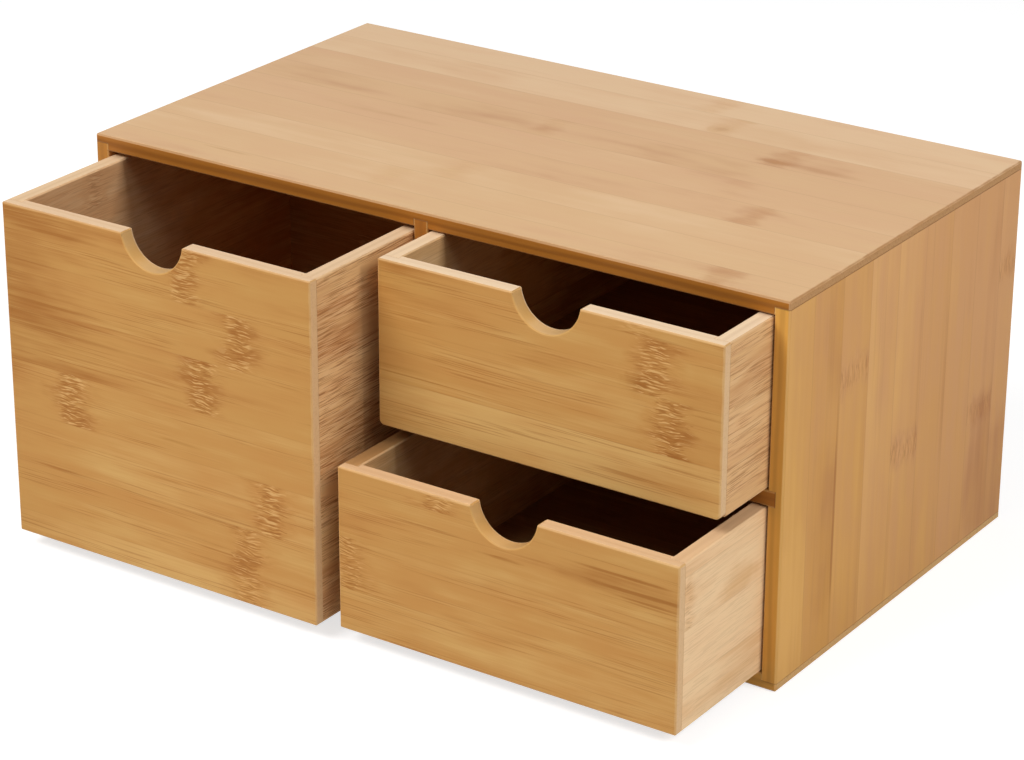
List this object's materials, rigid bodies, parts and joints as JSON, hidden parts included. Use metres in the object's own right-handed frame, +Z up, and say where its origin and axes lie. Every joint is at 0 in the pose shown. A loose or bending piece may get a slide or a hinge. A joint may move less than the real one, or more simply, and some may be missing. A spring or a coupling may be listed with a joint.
{
  "type": "desktop mini drawers",
  "caption": "Low bamboo desktop chest with a tall drawer beside low drawers stacked on a shelf, each pulled by a round finger notch in its front board.",
  "frame": {"origin": "middle of the case's underside, on the surface it stands on", "axes": "+Z up, +X to the right seen from the front, drawers pull out towards -Y"},
  "size_m": [0.35, 0.27, 0.17],
  "materials": {
    "top_board": "pale bamboo, satin lacquer, grain along the width",
    "case_board": "golden bamboo in upright strips, satin lacquer",
    "drawer_front": "golden bamboo with nodes, satin lacquer, grain along the width",
    "drawer_box": "bare pale bamboo, rough sanded, grain along the depth",
    "thin_panel": "thin bamboo panel, matt"
  },
  "bodies": {
    "case": {"case_top": "top_board", "case_bottom": "case_board", "case_left_side": "case_board", "case_right_side": "case_board", "case_divider": "case_board", "case_shelf": "case_board", "case_back": "thin_panel"},
    "tall_drawer": {"tall_drawer_front": "drawer_front", "tall_drawer_left_side": "drawer_box", "tall_drawer_right_side": "drawer_box", "tall_drawer_back": "drawer_box", "tall_drawer_bottom": "thin_panel"},
    "upper_drawer": {"upper_drawer_front": "drawer_front", "upper_drawer_left_side": "drawer_box", "upper_drawer_right_side": "drawer_box", "upper_drawer_back": "drawer_box", "upper_drawer_bottom": "thin_panel"},
    "lower_drawer": {"lower_drawer_front": "drawer_front", "lower_drawer_left_side": "drawer_box", "lower_drawer_right_side": "drawer_box", "lower_drawer_back": "drawer_box", "lower_drawer_bottom": "thin_panel"}
  },
  "joints": [
    {"name": "tall_drawer_slide", "type": "slide", "parent": "case", "child": "tall_drawer", "axis": [0, -1, 0], "range_m": [-0.07, 0.086]},
    {"name": "upper_drawer_slide", "type": "slide", "parent": "case", "child": "upper_drawer", "axis": [0, -1, 0], "range_m": [-0.036, 0.12]},
    {"name": "lower_drawer_slide", "type": "slide", "parent": "case", "child": "lower_drawer", "axis": [0, -1, 0], "range_m": [-0.065, 0.091]}
  ]
}
